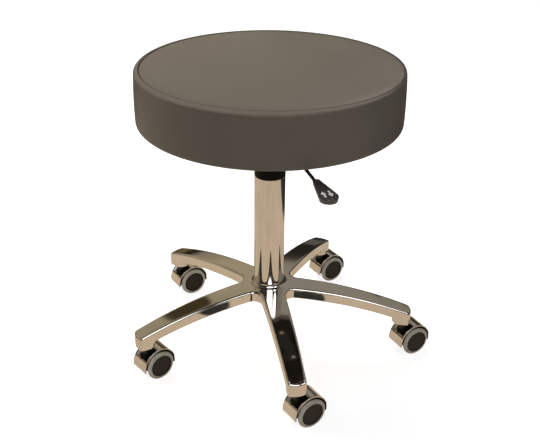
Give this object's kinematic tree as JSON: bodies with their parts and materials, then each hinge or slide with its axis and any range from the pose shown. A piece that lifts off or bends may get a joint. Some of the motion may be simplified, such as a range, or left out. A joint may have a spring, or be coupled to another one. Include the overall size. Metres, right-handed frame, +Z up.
{
  "type": "medical rolling stool",
  "caption": "Round upholstered stool on a gas-lift column with a release lever, a chromed star base and hooded twin-wheel casters.",
  "frame": {"origin": "point on the floor under the column's axis", "axes": "+Z up along the column, +X to the right and +Y away from the viewer in the picture"},
  "size_m": [0.4978, 0.5149, 0.5004],
  "materials": {
    "taupe_vinyl": "satin",
    "foam": "matte",
    "plywood": "matte",
    "black_cloth": "matte",
    "chrome": "polished",
    "bright_steel": "satin",
    "black_steel": "satin",
    "black_plastic": "satin",
    "wheel_plastic": "satin",
    "grey_tread": "satin",
    "rubber": "matte",
    "brass": "satin"
  },
  "bodies": {
    "base": {"star_base": "chrome", "column_tube": "chrome", "guide_bush": "black_plastic", "bearing_lower_race": "bright_steel", "bearing_cage": "brass", "caster_1_stem": "black_steel", "caster_2_stem": "black_steel", "caster_3_stem": "black_steel", "caster_4_stem": "black_steel", "caster_5_stem": "black_steel"},
    "lift_rod": {"piston_rod": "bright_steel", "bearing_upper_race": "bright_steel", "bump_stop": "rubber", "retaining_clip": "bright_steel"},
    "seat": {"seat_cover": "taupe_vinyl", "seat_foam": "foam", "seat_board": "plywood", "seat_dust_cover": "black_cloth", "seat_plate": "black_steel", "taper_socket": "black_steel", "plate_screw_1": "bright_steel", "plate_screw_2": "bright_steel", "plate_screw_3": "bright_steel", "plate_screw_4": "bright_steel", "gas_cylinder": "black_steel", "rod_guide": "rubber"},
    "lever": {"lever_rod": "black_steel", "lever_hub": "bright_steel", "lever_paddle": "black_plastic"},
    "valve_pin": {"release_pin": "bright_steel"},
    "caster_1": {"caster_1_hood": "chrome", "caster_1_axle": "bright_steel"},
    "wheel_1_a": {"caster_1_core_a": "wheel_plastic", "caster_1_tread_a": "grey_tread"},
    "wheel_1_b": {"caster_1_core_b": "wheel_plastic", "caster_1_tread_b": "grey_tread"},
    "caster_2": {"caster_2_hood": "chrome", "caster_2_axle": "bright_steel"},
    "wheel_2_a": {"caster_2_core_a": "wheel_plastic", "caster_2_tread_a": "grey_tread"},
    "wheel_2_b": {"caster_2_core_b": "wheel_plastic", "caster_2_tread_b": "grey_tread"},
    "caster_3": {"caster_3_hood": "chrome", "caster_3_axle": "bright_steel"},
    "wheel_3_a": {"caster_3_core_a": "wheel_plastic", "caster_3_tread_a": "grey_tread"},
    "wheel_3_b": {"caster_3_core_b": "wheel_plastic", "caster_3_tread_b": "grey_tread"},
    "caster_4": {"caster_4_hood": "chrome", "caster_4_axle": "bright_steel"},
    "wheel_4_a": {"caster_4_core_a": "wheel_plastic", "caster_4_tread_a": "grey_tread"},
    "wheel_4_b": {"caster_4_core_b": "wheel_plastic", "caster_4_tread_b": "grey_tread"},
    "caster_5": {"caster_5_hood": "chrome", "caster_5_axle": "bright_steel"},
    "wheel_5_a": {"caster_5_core_a": "wheel_plastic", "caster_5_tread_a": "grey_tread"},
    "wheel_5_b": {"caster_5_core_b": "wheel_plastic", "caster_5_tread_b": "grey_tread"}
  },
  "joints": [
    {"name": "seat_swivel", "type": "hinge", "parent": "base", "child": "lift_rod", "pos_m": [0, 0, 0.1], "axis": [0, 0, 1], "continuous": true},
    {"name": "seat_height", "type": "slide", "parent": "lift_rod", "child": "seat", "axis": [0, 0, 1], "range_m": [-0.02, 0.11]},
    {"name": "lever_lift", "type": "hinge", "parent": "seat", "child": "lever", "pos_m": [0.0114, -0.0373, 0.40192], "axis": [-0.9563, -0.2924, 0], "range_deg": [0, 3], "stiffness_Nm_per_rad": 4, "springref_deg": -5.73},
    {"name": "pin_press", "type": "slide", "parent": "seat", "child": "valve_pin", "axis": [0, 0, -1], "range_m": [0, 0.0024]},
    {"name": "caster_1_swivel", "type": "hinge", "parent": "base", "child": "caster_1", "pos_m": [-0.20042, -0.10995, 0.02462], "axis": [0, 0, 1], "continuous": true},
    {"name": "wheel_1_a_roll", "type": "hinge", "parent": "caster_1", "child": "wheel_1_a", "pos_m": [-0.18671, -0.09845, 0.02462], "axis": [0.6428, -0.766, 0], "continuous": true},
    {"name": "wheel_1_b_roll", "type": "hinge", "parent": "caster_1", "child": "wheel_1_b", "pos_m": [-0.18671, -0.09845, 0.02462], "axis": [0.6428, -0.766, 0], "continuous": true},
    {"name": "caster_2_swivel", "type": "hinge", "parent": "base", "child": "caster_2", "pos_m": [0.04264, -0.22459, 0.02462], "axis": [0, 0, 1], "continuous": true},
    {"name": "wheel_2_a_roll", "type": "hinge", "parent": "caster_2", "child": "wheel_2_a", "pos_m": [0.05765, -0.21484, 0.02462], "axis": [0.5446, -0.8387, 0], "continuous": true},
    {"name": "wheel_2_b_roll", "type": "hinge", "parent": "caster_2", "child": "wheel_2_b", "pos_m": [0.05765, -0.21484, 0.02462], "axis": [0.5446, -0.8387, 0], "continuous": true},
    {"name": "caster_3_swivel", "type": "hinge", "parent": "base", "child": "caster_3", "pos_m": [0.22677, -0.02885, 0.02462], "axis": [0, 0, 1], "continuous": true},
    {"name": "wheel_3_a_roll", "type": "hinge", "parent": "caster_3", "child": "wheel_3_a", "pos_m": [0.24235, -0.02004, 0.02462], "axis": [0.4924, -0.8704, 0], "continuous": true},
    {"name": "wheel_3_b_roll", "type": "hinge", "parent": "caster_3", "child": "wheel_3_b", "pos_m": [0.24235, -0.02004, 0.02462], "axis": [0.4924, -0.8704, 0], "continuous": true},
    {"name": "caster_4_swivel", "type": "hinge", "parent": "base", "child": "caster_4", "pos_m": [0.09751, 0.20676, 0.02462], "axis": [0, 0, 1], "continuous": true},
    {"name": "wheel_4_a_roll", "type": "hinge", "parent": "caster_4", "child": "wheel_4_a", "pos_m": [0.11253, 0.21651, 0.02462], "axis": [0.5446, -0.8387, 0], "continuous": true},
    {"name": "wheel_4_b_roll", "type": "hinge", "parent": "caster_4", "child": "wheel_4_b", "pos_m": [0.11253, 0.21651, 0.02462], "axis": [0.5446, -0.8387, 0], "continuous": true},
    {"name": "caster_5_swivel", "type": "hinge", "parent": "base", "child": "caster_5", "pos_m": [-0.16651, 0.15663, 0.02462], "axis": [0, 0, 1], "continuous": true},
    {"name": "wheel_5_a_roll", "type": "hinge", "parent": "caster_5", "child": "wheel_5_a", "pos_m": [-0.15133, 0.16612, 0.02462], "axis": [0.5299, -0.848, 0], "continuous": true},
    {"name": "wheel_5_b_roll", "type": "hinge", "parent": "caster_5", "child": "wheel_5_b", "pos_m": [-0.15133, 0.16612, 0.02462], "axis": [0.5299, -0.848, 0], "continuous": true}
  ],
  "couplings": [
    {"joint": "pin_press", "follows": "lever_lift", "m_per_rad": 0.043}
  ]
}
